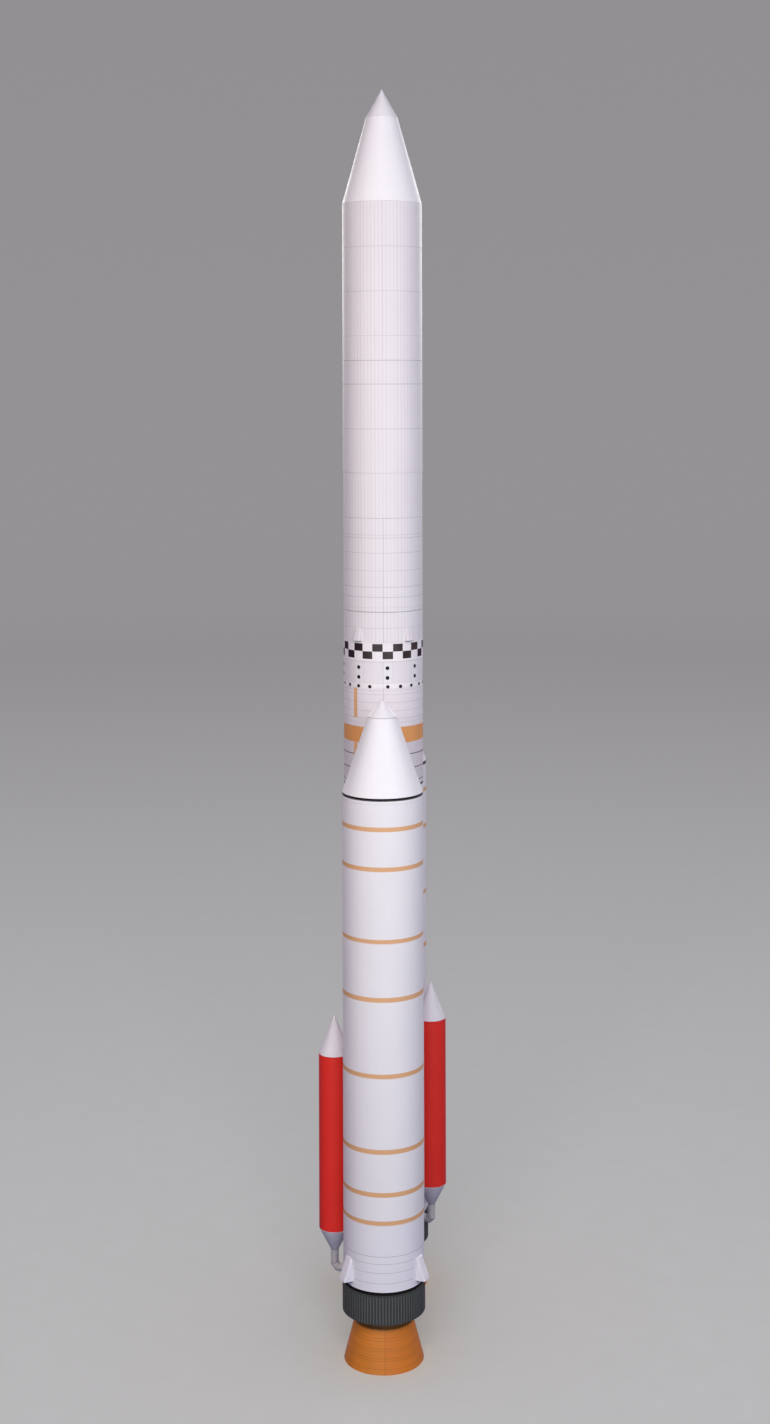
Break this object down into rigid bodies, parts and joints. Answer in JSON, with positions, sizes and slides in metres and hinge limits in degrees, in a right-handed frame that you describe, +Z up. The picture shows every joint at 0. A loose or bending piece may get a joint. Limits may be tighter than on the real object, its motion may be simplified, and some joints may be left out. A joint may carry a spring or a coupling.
{
  "type": "card model of a space rocket",
  "caption": "Card model of a space rocket: slender core stack with a long cylindrical fairing, flanked by strap-on boosters with red side tanks, standing on its booster nozzles.",
  "frame": {"origin": "on the floor, under the middle of the outline of the whole model", "axes": "+Z up along the rocket, +Y from the front booster to the rear booster through the core, +X across them"},
  "size_m": [0.1004, 0.1986, 1.0061],
  "materials": {
    "white_card": "satin printed card, faint grey and lavender lines",
    "grey_card": "satin printed card, pale grey",
    "black_card": "satin printed card, black",
    "tan_card": "satin printed card, tan orange",
    "ribbed_card": "matt dark grey card with fine upright ribs",
    "nozzle_card": "satin printed card, orange brown with fine rings",
    "red_card": "satin printed card, red",
    "engine_card": "matt printed card, dark grey"
  },
  "bodies": {
    "root": {"core_base": "grey_card", "core_tube_lower": "white_card", "core_tube_middle": "white_card", "core_tube_upper": "white_card", "interstage_tube": "grey_card", "orange_band": "tan_card", "upper_stage_tube": "grey_card", "dotted_ring": "white_card", "checker_ring": "white_card", "fairing_foot": "white_card", "fairing_pad_1": "white_card", "fairing_pad_2": "white_card", "fairing_pad_3": "white_card", "fairing_pad_4": "white_card", "fairing_tube_lower": "white_card", "fairing_tube_middle": "white_card", "fairing_tube_upper": "white_card", "fairing_tube_top": "white_card", "fairing_nose_cone": "white_card", "fairing_nose_tip": "white_card", "core_engine_left": "engine_card", "core_engine_right": "engine_card", "front_nozzle": "nozzle_card", "front_ribbed_ring": "ribbed_card", "front_tail_strip": "black_card", "front_skirt": "white_card", "front_bracket_left": "white_card", "front_bracket_right": "white_card", "front_tube_lower": "white_card", "front_tube_middle": "white_card", "front_tube_upper": "white_card", "front_collar": "black_card", "front_nose_cone": "white_card", "front_nose_tip": "white_card", "front_tank_tail": "white_card", "front_tank_tube": "red_card", "front_tank_nose": "white_card", "front_feed_pipe": "white_card", "front_lower_fitting": "white_card", "front_upper_fitting": "white_card", "rear_nozzle": "nozzle_card", "rear_ribbed_ring": "ribbed_card", "rear_tail_strip": "black_card", "rear_skirt": "white_card", "rear_bracket_left": "white_card", "rear_bracket_right": "white_card", "rear_tube_lower": "white_card", "rear_tube_middle": "white_card", "rear_tube_upper": "white_card", "rear_collar": "black_card", "rear_nose_cone": "white_card", "rear_nose_tip": "white_card", "rear_tank_tail": "white_card", "rear_tank_tube": "red_card", "rear_tank_nose": "white_card", "rear_feed_pipe": "white_card", "rear_lower_fitting": "white_card", "rear_upper_fitting": "white_card"}
  },
  "joints": []
}
